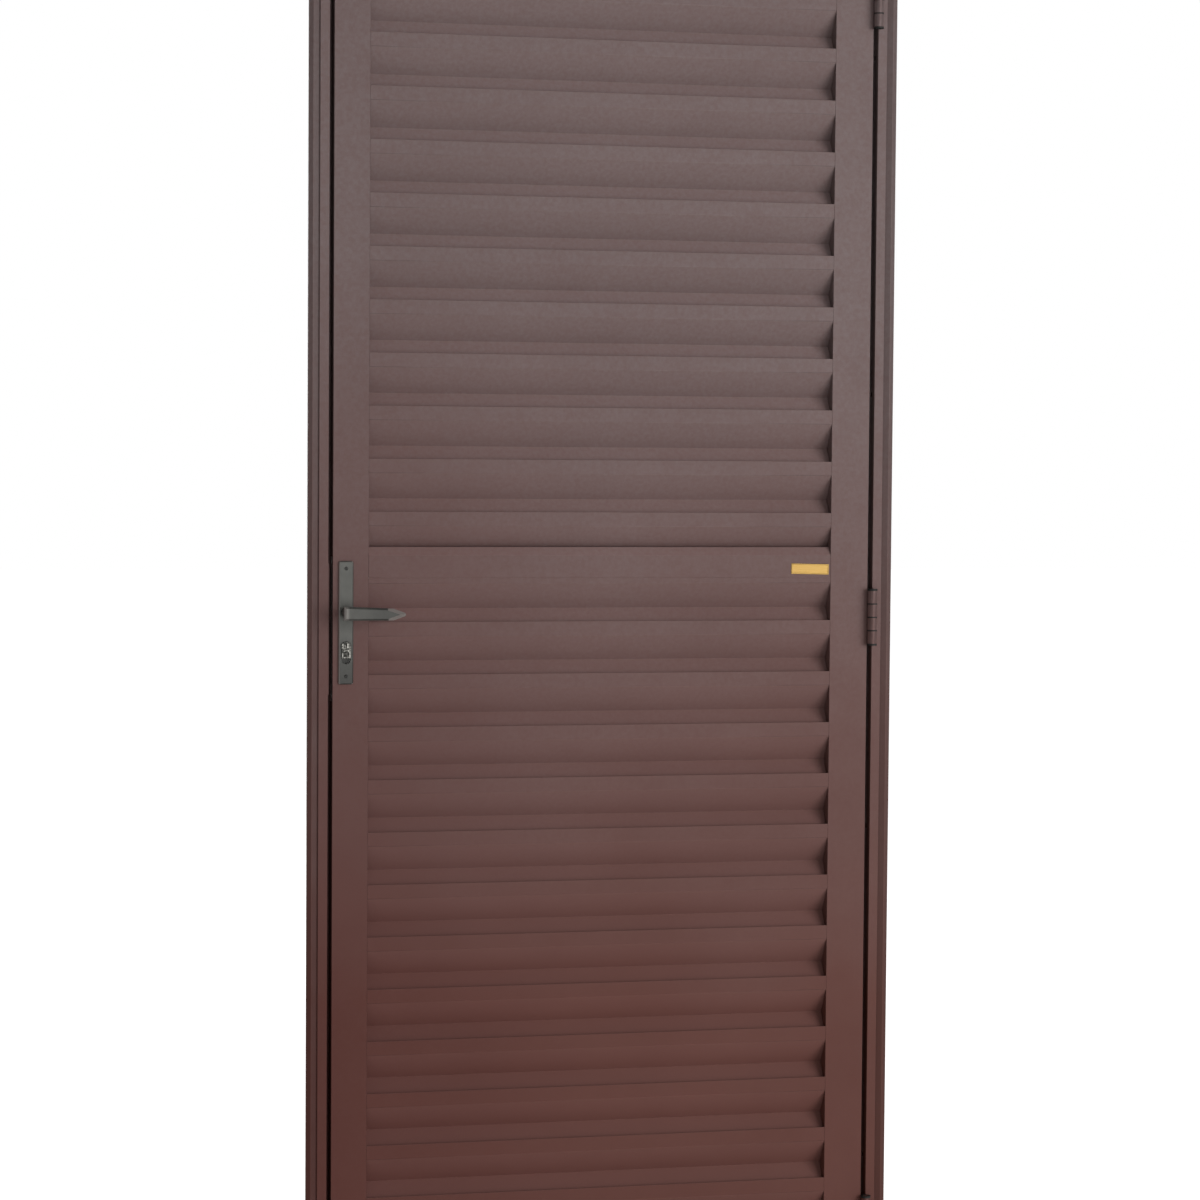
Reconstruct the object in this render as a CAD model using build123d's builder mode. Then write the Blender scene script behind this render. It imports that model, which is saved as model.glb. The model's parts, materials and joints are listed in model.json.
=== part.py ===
"""Louvred metal door set: a frame, an inward-opening leaf on three butt hinges, a lever handle and a lock.

Seen from the inside face, +X is to the right, +Z is up and +Y points to the outside.
The origin is on the wall face of the hinge jamb, at floor level, in the middle of the frame's depth.
All sizes are in millimetres.
"""

import os
from math import ceil

from build123d import *

# Frame
FRAME_WIDTH = 880.0
FRAME_HEIGHT = 2150.0
FRAME_DEPTH = 65.0
FRAME_SHEET = 1.5
FRAME_FACE = 30.0
FLANGE_OVERLAP = 8.5
FLANGE_DEPTH = 8.0
RIDGE_INSET = 6.5
RIDGE_HEIGHT = 2.5
BAND_WIDTH = 9.5
STOP_OVERLAP = 3.0
STOP_CLEARANCE = 5.5

# Leaf
LEAF_THICKNESS = 30.0
HINGE_GAP = 7.5
LOCK_GAP = 6.5
HEAD_GAP = 6.5
FLOOR_GAP = 10.0
TUBE_WALL = 1.2
HINGE_STILE_WIDTH = 58.0
LOCK_STILE_WIDTH = 52.0
TOP_RAIL_HEIGHT = 53.0
MID_RAIL_HEIGHT = 45.0
MID_RAIL_TOP = 1171.0
BOTTOM_RAIL_HEIGHT = 57.0
RAIL_BEVEL_HEIGHT = 12.0
RAIL_BEVEL_DEPTH = 8.0

# Louvre slats
SLAT_SHEET = 1.0
SLAT_PITCH = 76.5
SLAT_LIP = 20.5
SLAT_WEB = 37.0
SLAT_RETURN = 26.0
SLAT_DEPTH = 25.0
SLAT_TAIL_DEPTH = 7.0
SLAT_BEND = 2.0
UPPER_FIRST_LIP = 51.0
LOWER_FIRST_LIP = 12.5

# Hinges
HINGE_HEIGHT = 79.0
HINGE_CENTRE = 1066.5
HINGE_SPACING = 917.0
KNUCKLE_RADIUS = 7.0
PIN_INSET = 2.0
KNUCKLE_COUNT = 4
KNUCKLE_GAP = 0.9
KNUCKLE_STANDOFF = 1.0
PIN_RADIUS = 3.5
PIN_CLEARANCE = 0.08
PIN_HEAD = 2.5
HINGE_PLATE = 1.5
HINGE_PLATE_EDGE = 1.2
HINGE_PLATE_DEPTH = 26.0

# Lock and handle
BACKSET = 19.0
SPINDLE_HEIGHT = 1077.0
CYLINDER_DROP = 50.0
LOCK_PLATE_WIDTH = 21.0
LOCK_PLATE_HEIGHT = 178.0
LOCK_PLATE_THICKNESS = 4.0
LOCK_PLATE_RISE = 73.5
LOCK_PLATE_CORNER = 2.5
LOCK_PLATE_BEVEL = 1.4
COLLAR_RADIUS = 9.5
COLLAR_HEIGHT = 2.0
SPINDLE_SIDE = 8.0
SPINDLE_SOCKET = 24.0
TURN_CLEARANCE = 0.4
NECK_RADIUS = 7.5
LEVER_PROJECTION = 52.0
LEVER_REACH = 86.0
LEVER_TAPER = 24.0
GRIP_THICKNESS = 11.0
GRIP_HALF_HEIGHT = 10.0
GRIP_ROOT_OVERHANG = 9.0
GRIP_ROOT_RADIUS = 7.0
GRIP_FALL = 3.0
GRIP_TIP_DROP = 1.5
GRIP_TIP_RADIUS = 3.0
GRIP_SHOULDER_RADIUS = 14.0
GRIP_FRONT_BEVEL = 2.6
GRIP_BACK_BEVEL = 1.8
GRIP_FACET = 5.0
CYLINDER_RADIUS = 7.2
CYLINDER_BODY = 12.4
CYLINDER_HEIGHT = 24.0
CYLINDER_OPENING_HEIGHT = 33.0
CYLINDER_PROJECTION = 2.5
KEYWAY_WIDTH = 2.0
KEYWAY_HEIGHT = 8.5
KEYWAY_DEPTH = 6.0
CYLINDER_CLEARANCE = 0.5
CASE_WIDTH = 34.0
CASE_THICKNESS = 15.0
CASE_HEIGHT = 170.0
FACEPLATE_WIDTH = 20.0
FACEPLATE_HEIGHT = 210.0
FACEPLATE_CLEARANCE = 0.3
BACKING_THICKNESS = 3.0
BACKING_MARGIN = 8.0
CASE_CLEARANCE = 0.5
LATCH_WIDTH = 12.0
LATCH_HEIGHT = 20.0
LATCH_RISE = 34.0
DEAD_BOLT_HEIGHT = 34.0
BOLT_DEPTH = 24.0
BOLT_CLEARANCE = 0.3
STRIKE_SHEET = 1.5
STRIKE_WIDTH = 22.0
STRIKE_HEIGHT = 190.0
STRIKE_MARGIN = 2.0

# Wall fixings
FIXING_RADIUS = 4.0
FIXING_SPACING = 500.0
LOWER_FIXING_CENTRE = 500.0
UPPER_FIXING_CENTRE = 1650.0

# Places worked out from the sizes above
FRONT = -FRAME_DEPTH / 2
LEAF_BACK = FRONT + LEAF_THICKNESS
LEAF_MIDDLE = FRONT + LEAF_THICKNESS / 2
STOP_FRONT = LEAF_BACK + STOP_CLEARANCE
WALL_WIDTH = FRAME_WIDTH - 2 * FLANGE_OVERLAP
WALL_HEIGHT = FRAME_HEIGHT - FLANGE_OVERLAP
FACE_REACH = FRAME_FACE - FLANGE_OVERLAP
HINGE_EDGE = -(FACE_REACH + HINGE_GAP)
LOCK_EDGE = -WALL_WIDTH + FACE_REACH + LOCK_GAP
LEAF_TOP = WALL_HEIGHT - FACE_REACH - HEAD_GAP
LEAF_HEIGHT = LEAF_TOP - FLOOR_GAP
PANEL_LEFT = LOCK_EDGE + LOCK_STILE_WIDTH
PANEL_RIGHT = HINGE_EDGE - HINGE_STILE_WIDTH
PANEL_WIDTH = PANEL_RIGHT - PANEL_LEFT
UPPER_HIGH = LEAF_TOP - TOP_RAIL_HEIGHT
UPPER_LOW = MID_RAIL_TOP
LOWER_HIGH = MID_RAIL_TOP - MID_RAIL_HEIGHT
LOWER_LOW = FLOOR_GAP + BOTTOM_RAIL_HEIGHT
SLAT_HEIGHT = SLAT_LIP + SLAT_WEB + SLAT_RETURN
HINGE_X = -(FACE_REACH + PIN_INSET)
HINGE_Y = FRONT - KNUCKLE_STANDOFF - KNUCKLE_RADIUS
HINGE_CENTRES = {
    "top": HINGE_CENTRE + HINGE_SPACING,
    "middle": HINGE_CENTRE,
    "bottom": HINGE_CENTRE - HINGE_SPACING,
}
SPINDLE_X = LOCK_EDGE + BACKSET
CYLINDER_Z = SPINDLE_HEIGHT - CYLINDER_DROP
LOCK_PLATE_TOP = SPINDLE_HEIGHT + LOCK_PLATE_RISE
LOCK_PLATE_CENTRE = LOCK_PLATE_TOP - LOCK_PLATE_HEIGHT / 2
LOCK_CENTRE = (SPINDLE_HEIGHT + CYLINDER_Z) / 2
LATCH_Z = SPINDLE_HEIGHT + LATCH_RISE

os.makedirs("parts", exist_ok=True)


def write(piece, name):
    """Names a finished piece and writes it."""
    piece.label = name
    export_step(piece, f"parts/{name}.step")


def frame_profile(gap):
    """Hollow frame section for a side with this gap to the leaf.

    The first coordinate runs from the wall face into the opening, the second from inside to outside.
    A flange laps over the wall; its ridge falls to a shallow step beside the flat face.
    """
    stop_reach = FACE_REACH + gap + STOP_OVERLAP
    ridge = RIDGE_INSET - FLANGE_OVERLAP
    with BuildSketch(mode=Mode.PRIVATE) as section:
        with BuildLine():
            Polyline(
                (-FLANGE_OVERLAP, FRONT + RIDGE_HEIGHT),
                (ridge, FRONT),
                (ridge + BAND_WIDTH, FRONT + RIDGE_HEIGHT),
                (ridge + BAND_WIDTH, FRONT),
                (FACE_REACH, FRONT),
                (FACE_REACH, STOP_FRONT),
                (stop_reach, STOP_FRONT),
                (stop_reach, FRONT + FRAME_DEPTH),
                (0, FRONT + FRAME_DEPTH),
                (0, FRONT + FLANGE_DEPTH),
                (-FLANGE_OVERLAP, FRONT + FLANGE_DEPTH),
                close=True,
            )
        make_face()
        offset(amount=-FRAME_SHEET, kind=Kind.INTERSECTION, mode=Mode.SUBTRACT)
    return section.sketch


hinge_mitre = Plane(origin=(0, 0, WALL_HEIGHT), z_dir=(-1, 0, 1))
lock_mitre = Plane(origin=(-WALL_WIDTH, 0, WALL_HEIGHT), z_dir=(1, 0, 1))


def fixing_heights():
    """Heights of the screws that hold a jamb to the wall."""
    for centre in (LOWER_FIXING_CENTRE, UPPER_FIXING_CENTRE):
        yield centre - FIXING_SPACING / 2
        yield centre + FIXING_SPACING / 2


# Middle of the rebate, where the wall fixings and the strike plate sit
REBATE_MIDDLE = (FRONT + STOP_FRONT) / 2

with BuildPart() as hinge_jamb:
    with BuildSketch(Plane(origin=(0, 0, FRAME_HEIGHT), x_dir=(-1, 0, 0), z_dir=(0, 0, -1))):
        add(frame_profile(HINGE_GAP))
    extrude(amount=FRAME_HEIGHT)
    split(bisect_by=hinge_mitre, keep=Keep.BOTTOM)
    with BuildSketch(Plane.YZ):
        with Locations([(REBATE_MIDDLE, z) for z in fixing_heights()]):
            Circle(FIXING_RADIUS)
    extrude(amount=-FACE_REACH, mode=Mode.SUBTRACT)
write(hinge_jamb.part, "hinge_jamb")

with BuildPart() as lock_jamb:
    with BuildSketch(Plane(origin=(-WALL_WIDTH, 0, 0), x_dir=(1, 0, 0), z_dir=(0, 0, 1))):
        add(frame_profile(LOCK_GAP))
    extrude(amount=FRAME_HEIGHT)
    split(bisect_by=lock_mitre, keep=Keep.BOTTOM)
    with BuildSketch(Plane.YZ.offset(-WALL_WIDTH)):
        with Locations([(REBATE_MIDDLE, z) for z in fixing_heights()]):
            Circle(FIXING_RADIUS)
    extrude(amount=FACE_REACH, mode=Mode.SUBTRACT)
    # Pockets behind the strike plate for the latch and the dead bolt
    with BuildSketch(Plane.YZ.offset(FACE_REACH - WALL_WIDTH)):
        with Locations((LEAF_MIDDLE, LATCH_Z)):
            Rectangle(LATCH_WIDTH + 2 * STRIKE_MARGIN, LATCH_HEIGHT + 2 * STRIKE_MARGIN)
        with Locations((LEAF_MIDDLE, CYLINDER_Z)):
            Rectangle(LATCH_WIDTH + 2 * STRIKE_MARGIN, DEAD_BOLT_HEIGHT + 2 * STRIKE_MARGIN)
    extrude(amount=-FRAME_SHEET, mode=Mode.SUBTRACT)
write(lock_jamb.part, "lock_jamb")

head_end = Plane(origin=(-WALL_WIDTH - FLANGE_OVERLAP, 0, WALL_HEIGHT), x_dir=(0, 0, -1), z_dir=(1, 0, 0))
with BuildPart() as frame_head:
    with BuildSketch(head_end):
        add(frame_profile(HEAD_GAP))
    extrude(amount=FRAME_WIDTH)
    split(bisect_by=hinge_mitre, keep=Keep.TOP)
    split(bisect_by=lock_mitre, keep=Keep.TOP)
write(frame_head.part, "frame_head")

with BuildPart() as strike_plate:
    with BuildSketch(Plane.YZ.offset(FACE_REACH - WALL_WIDTH)):
        with Locations((LEAF_MIDDLE, LOCK_CENTRE)):
            RectangleRounded(STRIKE_WIDTH, STRIKE_HEIGHT, STRIKE_MARGIN)
        with Locations((LEAF_MIDDLE, LATCH_Z)):
            Rectangle(LATCH_WIDTH + STRIKE_MARGIN, LATCH_HEIGHT + STRIKE_MARGIN, mode=Mode.SUBTRACT)
        with Locations((LEAF_MIDDLE, CYLINDER_Z)):
            Rectangle(LATCH_WIDTH + STRIKE_MARGIN, DEAD_BOLT_HEIGHT + STRIKE_MARGIN, mode=Mode.SUBTRACT)
    extrude(amount=STRIKE_SHEET)
write(strike_plate.part, "strike_plate")


def stile(left, width):
    """A hollow stile of the leaf, of this width, whose left edge is at x = left."""
    with BuildPart() as bar:
        with BuildSketch(Plane.XY.offset(FLOOR_GAP)):
            with Locations((left + width / 2, LEAF_MIDDLE)):
                Rectangle(width, LEAF_THICKNESS)
                Rectangle(width - 2 * TUBE_WALL, LEAF_THICKNESS - 2 * TUBE_WALL, mode=Mode.SUBTRACT)
        extrude(amount=LEAF_HEIGHT)
    return bar.part


write(stile(PANEL_RIGHT, HINGE_STILE_WIDTH), "hinge_stile")


def cylinder_outline(clearance, height):
    """Round head and straight foot about the plug's centre, of this height, grown by a clearance."""
    foot = height - CYLINDER_RADIUS
    with BuildSketch(mode=Mode.PRIVATE) as outline:
        Circle(CYLINDER_RADIUS + clearance)
        with Locations((0, -foot / 2)):
            Rectangle(CYLINDER_BODY + 2 * clearance, foot)
    return outline.sketch


def cylinder_opening():
    """Hole for the cylinder, with a round end below its flat foot."""
    end_radius = CYLINDER_BODY / 2 + CYLINDER_CLEARANCE
    height = CYLINDER_OPENING_HEIGHT - CYLINDER_CLEARANCE - end_radius
    with BuildSketch(mode=Mode.PRIVATE) as hole:
        add(cylinder_outline(CYLINDER_CLEARANCE, height))
        with Locations((0, CYLINDER_RADIUS - height)):
            Circle(end_radius)
    return hole.sketch


with BuildPart() as lock_stile:
    add(stile(LOCK_EDGE, LOCK_STILE_WIDTH))
    # Backing strip behind the lock's faceplate
    with BuildSketch(Plane.YZ.offset(LOCK_EDGE + TUBE_WALL)):
        with Locations((LEAF_MIDDLE, LOCK_CENTRE)):
            Rectangle(LEAF_THICKNESS - 2 * TUBE_WALL, FACEPLATE_HEIGHT + 2 * BACKING_MARGIN)
    extrude(amount=BACKING_THICKNESS)
    with BuildSketch(Plane.YZ.offset(LOCK_EDGE)):
        with Locations((LEAF_MIDDLE, LOCK_CENTRE)):
            Rectangle(FACEPLATE_WIDTH + 2 * FACEPLATE_CLEARANCE, FACEPLATE_HEIGHT + 2 * FACEPLATE_CLEARANCE)
    extrude(amount=TUBE_WALL, mode=Mode.SUBTRACT)
    with BuildSketch(Plane.YZ.offset(LOCK_EDGE)):
        with Locations((LEAF_MIDDLE, LOCK_CENTRE)):
            Rectangle(CASE_THICKNESS + 2 * CASE_CLEARANCE, CASE_HEIGHT + 2 * CASE_CLEARANCE)
    extrude(amount=TUBE_WALL + BACKING_THICKNESS, mode=Mode.SUBTRACT)
    # Holes for the spindle and the cylinder, through both faces
    with BuildSketch(Plane.XZ.offset(-FRONT)):
        with Locations((SPINDLE_X, SPINDLE_HEIGHT)):
            Circle(NECK_RADIUS + TURN_CLEARANCE)
        with Locations((SPINDLE_X, CYLINDER_Z)):
            add(cylinder_opening())
    extrude(amount=-LEAF_THICKNESS, mode=Mode.SUBTRACT)
write(lock_stile.part, "lock_stile")


def rail(low, high, bevelled):
    """A hollow rail between the stiles, from low to high, with its front top edge bevelled or square."""
    drop = RAIL_BEVEL_HEIGHT if bevelled else 0
    with BuildPart() as bar:
        with BuildSketch(Plane.YZ.offset(PANEL_LEFT)):
            with BuildLine():
                Polyline(
                    (FRONT, low),
                    (FRONT, high - drop),
                    *([(FRONT + RAIL_BEVEL_DEPTH, high)] if bevelled else []),
                    (LEAF_BACK, high),
                    (LEAF_BACK, low),
                    close=True,
                )
            make_face()
            offset(amount=-TUBE_WALL, kind=Kind.INTERSECTION, mode=Mode.SUBTRACT)
        extrude(amount=PANEL_WIDTH)
    return bar.part


write(rail(UPPER_HIGH, LEAF_TOP, False), "top_rail")
write(rail(LOWER_HIGH, UPPER_LOW, True), "mid_rail")
write(rail(FLOOR_GAP, LOWER_LOW, True), "bottom_rail")

# Slat profile from the top of its front lip: lip, web back to the crease, return forward
with BuildSketch() as slat_profile:
    with BuildLine():
        Polyline(
            (0, 0),
            (0, -SLAT_LIP),
            (SLAT_DEPTH, -SLAT_LIP - SLAT_WEB),
            (SLAT_TAIL_DEPTH, -SLAT_HEIGHT),
        )
        offset(amount=SLAT_SHEET, side=Side.LEFT, kind=Kind.INTERSECTION)
    make_face()
    bend = slat_profile.vertices().sort_by_distance((0, -SLAT_LIP))
    fillet(bend[0], SLAT_BEND)
    fillet(bend[1], SLAT_BEND - SLAT_SHEET)


def louvre(lip_tops, low, high):
    """Slats with these lip tops, between the stiles, trimmed to the opening from low to high."""
    with BuildPart() as slats:
        with BuildSketch(Plane.YZ.offset(PANEL_LEFT)):
            with Locations([(FRONT, top) for top in lip_tops]):
                add(slat_profile.sketch)
        extrude(amount=PANEL_WIDTH)
        split(bisect_by=Plane.XY.offset(low), keep=Keep.TOP)
        split(bisect_by=Plane.XY.offset(high), keep=Keep.BOTTOM)
    return slats.part


upper_start = UPPER_LOW + UPPER_FIRST_LIP
upper_count = ceil((UPPER_HIGH + SLAT_LIP - upper_start) / SLAT_PITCH)
write(
    louvre([upper_start + i * SLAT_PITCH for i in range(upper_count)], UPPER_LOW, UPPER_HIGH),
    "upper_slats",
)
lower_start = LOWER_HIGH + LOWER_FIRST_LIP
lower_count = ceil((lower_start - SLAT_HEIGHT - LOWER_LOW) / SLAT_PITCH) + 1
write(
    louvre([lower_start - i * SLAT_PITCH for i in range(lower_count)], LOWER_LOW, LOWER_HIGH),
    "lower_slats",
)

KNUCKLE_LENGTH = (HINGE_HEIGHT - (KNUCKLE_COUNT - 1) * KNUCKLE_GAP) / KNUCKLE_COUNT


def hinge_half(centre, seat_x, inward, first, with_pin):
    """One half of a butt hinge: its plate on the edge at seat_x, and every second knuckle from first."""
    low = centre - HINGE_HEIGHT / 2
    steps = range(first, KNUCKLE_COUNT, 2)
    bases = [low + i * (KNUCKLE_LENGTH + KNUCKLE_GAP) for i in steps]
    plate_x = seat_x + inward * HINGE_PLATE / 2
    with BuildPart() as half:
        with BuildSketch(Plane.XY.offset(low)):
            with Locations((plate_x, FRONT + HINGE_PLATE_EDGE + HINGE_PLATE_DEPTH / 2)):
                Rectangle(HINGE_PLATE, HINGE_PLATE_DEPTH)
        extrude(amount=HINGE_HEIGHT)
        for base in bases:
            with BuildSketch(Plane.XY.offset(base)):
                with Locations((HINGE_X, HINGE_Y)):
                    Circle(KNUCKLE_RADIUS)
                tab = FRONT + HINGE_PLATE_EDGE - HINGE_Y
                with Locations((plate_x, HINGE_Y + tab / 2)):
                    Rectangle(HINGE_PLATE, tab)
            extrude(amount=KNUCKLE_LENGTH)
        if with_pin:
            with BuildSketch(Plane.XY.offset(low)):
                with Locations((HINGE_X, HINGE_Y)):
                    Circle(PIN_RADIUS)
            extrude(amount=HINGE_HEIGHT + PIN_HEAD)
        else:
            with BuildSketch(Plane.XY.offset(low)):
                with Locations((HINGE_X, HINGE_Y)):
                    Circle(PIN_RADIUS + PIN_CLEARANCE)
            extrude(amount=HINGE_HEIGHT, mode=Mode.SUBTRACT)
    return half.part


for name, centre in HINGE_CENTRES.items():
    write(hinge_half(centre, -FACE_REACH, -1, 0, True), f"{name}_hinge_frame_half")
    write(hinge_half(centre, HINGE_EDGE, 1, 1, False), f"{name}_hinge_leaf_half")

# Lock: case behind a faceplate that lies flush in the edge of the lock stile
with BuildPart() as mortise_lock:
    with BuildSketch(Plane.YZ.offset(LOCK_EDGE)):
        with Locations((LEAF_MIDDLE, LOCK_CENTRE)):
            Rectangle(FACEPLATE_WIDTH, FACEPLATE_HEIGHT)
    extrude(amount=TUBE_WALL)
    with BuildSketch(Plane.YZ.offset(LOCK_EDGE)):
        with Locations((LEAF_MIDDLE, LOCK_CENTRE)):
            Rectangle(CASE_THICKNESS, CASE_HEIGHT)
    extrude(amount=TUBE_WALL + CASE_WIDTH)
    # Pockets of the latch and the dead bolt
    with BuildSketch(Plane.YZ.offset(LOCK_EDGE)):
        with Locations((LEAF_MIDDLE, LATCH_Z)):
            Rectangle(LATCH_WIDTH, LATCH_HEIGHT)
        with Locations((LEAF_MIDDLE, CYLINDER_Z)):
            Rectangle(LATCH_WIDTH, DEAD_BOLT_HEIGHT)
    extrude(amount=BOLT_DEPTH, mode=Mode.SUBTRACT)
    # Follower hole and cylinder hole
    with BuildSketch(Plane.XZ.offset(-LEAF_MIDDLE)):
        with Locations((SPINDLE_X, SPINDLE_HEIGHT)):
            Circle(SPINDLE_SIDE * 2**0.5 / 2 + TURN_CLEARANCE)
        with Locations((SPINDLE_X, CYLINDER_Z)):
            add(cylinder_opening())
    extrude(amount=CASE_THICKNESS, both=True, mode=Mode.SUBTRACT)
write(mortise_lock.part, "mortise_lock")


def bolt(centre, height, depth):
    """A lock bolt drawn back until it is flush with the faceplate."""
    with BuildPart() as block:
        with BuildSketch(Plane.YZ.offset(LOCK_EDGE)):
            with Locations((LEAF_MIDDLE, centre)):
                Rectangle(LATCH_WIDTH, height)
        extrude(amount=depth)
    return block.part


BOLT_LENGTH = BACKSET - CYLINDER_RADIUS - CYLINDER_CLEARANCE - BOLT_CLEARANCE
write(bolt(LATCH_Z, LATCH_HEIGHT, BOLT_DEPTH), "latch_bolt")
write(bolt(CYLINDER_Z, DEAD_BOLT_HEIGHT, BOLT_LENGTH), "dead_bolt")


def lock_plate():
    """Long plate with a collar round the spindle, on the inside face of the leaf."""
    seat = Plane.XZ.offset(-FRONT)
    with BuildPart() as plate:
        with BuildSketch(seat):
            with Locations((SPINDLE_X, LOCK_PLATE_CENTRE)):
                RectangleRounded(LOCK_PLATE_WIDTH, LOCK_PLATE_HEIGHT, LOCK_PLATE_CORNER)
        extrude(amount=LOCK_PLATE_THICKNESS)
        chamfer(plate.faces().sort_by(Axis.Y)[0].outer_wire().edges(), LOCK_PLATE_BEVEL)
        with BuildSketch(seat):
            with Locations((SPINDLE_X, SPINDLE_HEIGHT)):
                Circle(COLLAR_RADIUS)
        extrude(amount=LOCK_PLATE_THICKNESS + COLLAR_HEIGHT)
        with BuildSketch(seat):
            with Locations((SPINDLE_X, SPINDLE_HEIGHT)):
                Circle(NECK_RADIUS + TURN_CLEARANCE)
            with Locations((SPINDLE_X, CYLINDER_Z)):
                add(cylinder_opening())
        extrude(amount=LOCK_PLATE_THICKNESS + COLLAR_HEIGHT, mode=Mode.SUBTRACT)
    return plate.part


leaf_mirror = Plane.XZ.offset(-LEAF_MIDDLE)
write(lock_plate(), "inside_lock_plate")
write(mirror(lock_plate(), about=leaf_mirror), "outside_lock_plate")

CYLINDER_END = FRONT - LOCK_PLATE_THICKNESS - CYLINDER_PROJECTION
with BuildPart() as key_cylinder:
    with BuildSketch(Plane.XZ.offset(-CYLINDER_END)):
        with Locations((SPINDLE_X, CYLINDER_Z)):
            add(cylinder_outline(0, CYLINDER_HEIGHT))
    extrude(amount=-2 * (LEAF_MIDDLE - CYLINDER_END))
    for end in (CYLINDER_END, 2 * LEAF_MIDDLE - CYLINDER_END):
        with BuildSketch(Plane.XZ.offset(-end)):
            with Locations((SPINDLE_X, CYLINDER_Z)):
                Rectangle(KEYWAY_WIDTH, KEYWAY_HEIGHT)
        extrude(amount=KEYWAY_DEPTH, both=True, mode=Mode.SUBTRACT)
write(key_cylinder.part, "key_cylinder")

GRIP_FRONT = FRONT - LEVER_PROJECTION
GRIP_BACK = GRIP_FRONT + GRIP_THICKNESS
GRIP_SHOULDER_X = SPINDLE_X + LEVER_REACH - LEVER_TAPER
GRIP_LEFT = SPINDLE_X - GRIP_ROOT_OVERHANG
GRIP_TOP = SPINDLE_HEIGHT + GRIP_HALF_HEIGHT
GRIP_BOTTOM = SPINDLE_HEIGHT - GRIP_HALF_HEIGHT
GRIP_SHOULDER_TOP = GRIP_TOP - GRIP_FALL
GRIP_TIP = (SPINDLE_X + LEVER_REACH, SPINDLE_HEIGHT - GRIP_TIP_DROP)


def tip_facet(shoulder_z):
    """Plane at 45 degrees through the grip's front edge, between its shoulder at this height and its tip."""
    towards_viewer = Vector(0, -1, 0)
    shoulder = Vector(GRIP_SHOULDER_X, GRIP_FRONT, shoulder_z)
    tip = Vector(GRIP_TIP[0], GRIP_FRONT, GRIP_TIP[1])
    side = 1 if shoulder_z > GRIP_TIP[1] else -1
    outward = (tip - shoulder).cross(towards_viewer).normalized() * -side
    return Plane(origin=shoulder - outward * GRIP_FACET, z_dir=outward + towards_viewer)


def lever():
    """Lever on the inside face: a round neck and a grip with bevelled edges and a faceted point."""
    with BuildPart() as handle:
        with BuildSketch(Plane.XZ.offset(-GRIP_BACK)):
            with BuildLine():
                Polyline(
                    (GRIP_LEFT, GRIP_TOP),
                    (GRIP_LEFT, GRIP_BOTTOM),
                    (GRIP_SHOULDER_X, GRIP_BOTTOM),
                    GRIP_TIP,
                    (GRIP_SHOULDER_X, GRIP_SHOULDER_TOP),
                    close=True,
                )
            outline = make_face()
            corners = outline.vertices().sort_by(Axis.X)
            fillet(corners[-1], GRIP_TIP_RADIUS)
            fillet(corners[2:4], GRIP_SHOULDER_RADIUS)
            fillet(corners[:2], GRIP_ROOT_RADIUS)
        extrude(amount=GRIP_THICKNESS)
        chamfer(handle.faces().sort_by(Axis.Y)[0].outer_wire().edges(), GRIP_FRONT_BEVEL)
        chamfer(handle.faces().sort_by(Axis.Y)[-1].outer_wire().edges(), GRIP_BACK_BEVEL)
        split(bisect_by=tip_facet(GRIP_SHOULDER_TOP), keep=Keep.BOTTOM)
        split(bisect_by=tip_facet(GRIP_BOTTOM), keep=Keep.BOTTOM)
        with BuildSketch(Plane.XZ.offset(-FRONT)):
            with Locations((SPINDLE_X, SPINDLE_HEIGHT)):
                Circle(NECK_RADIUS)
        extrude(amount=LEVER_PROJECTION - GRIP_THICKNESS / 2)
        with BuildSketch(Plane.XZ.offset(-FRONT)):
            with Locations((SPINDLE_X, SPINDLE_HEIGHT)):
                Rectangle(SPINDLE_SIDE, SPINDLE_SIDE)
        extrude(amount=SPINDLE_SOCKET, mode=Mode.SUBTRACT)
    return handle.part


write(lever(), "inside_lever")
write(mirror(lever(), about=leaf_mirror), "outside_lever")

with BuildPart() as spindle:
    with BuildSketch(Plane.XZ.offset(-FRONT + SPINDLE_SOCKET)):
        with Locations((SPINDLE_X, SPINDLE_HEIGHT)):
            Rectangle(SPINDLE_SIDE, SPINDLE_SIDE)
    extrude(amount=-(LEAF_THICKNESS + 2 * SPINDLE_SOCKET))
write(spindle.part, "spindle")
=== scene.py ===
import json
import math

import bmesh
import bpy
from mathutils import Matrix, Vector


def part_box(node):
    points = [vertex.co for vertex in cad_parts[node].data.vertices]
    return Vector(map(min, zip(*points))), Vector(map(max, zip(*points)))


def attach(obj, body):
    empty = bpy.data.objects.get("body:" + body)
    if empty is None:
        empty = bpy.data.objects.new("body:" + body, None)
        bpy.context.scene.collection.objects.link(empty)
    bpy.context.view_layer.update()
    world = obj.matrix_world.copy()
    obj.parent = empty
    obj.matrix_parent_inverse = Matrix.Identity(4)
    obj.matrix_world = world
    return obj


# Painted steel louvred door set: finishes, small fixings, light and camera. All sizes are in metres.
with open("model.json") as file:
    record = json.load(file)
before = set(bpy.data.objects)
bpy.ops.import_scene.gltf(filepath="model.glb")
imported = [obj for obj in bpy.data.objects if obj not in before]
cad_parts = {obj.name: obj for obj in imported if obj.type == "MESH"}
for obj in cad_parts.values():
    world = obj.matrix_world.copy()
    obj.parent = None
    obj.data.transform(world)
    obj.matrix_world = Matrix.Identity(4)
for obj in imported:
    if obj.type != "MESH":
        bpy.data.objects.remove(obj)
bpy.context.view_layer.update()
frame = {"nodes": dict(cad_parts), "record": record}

MM = 0.001

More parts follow.
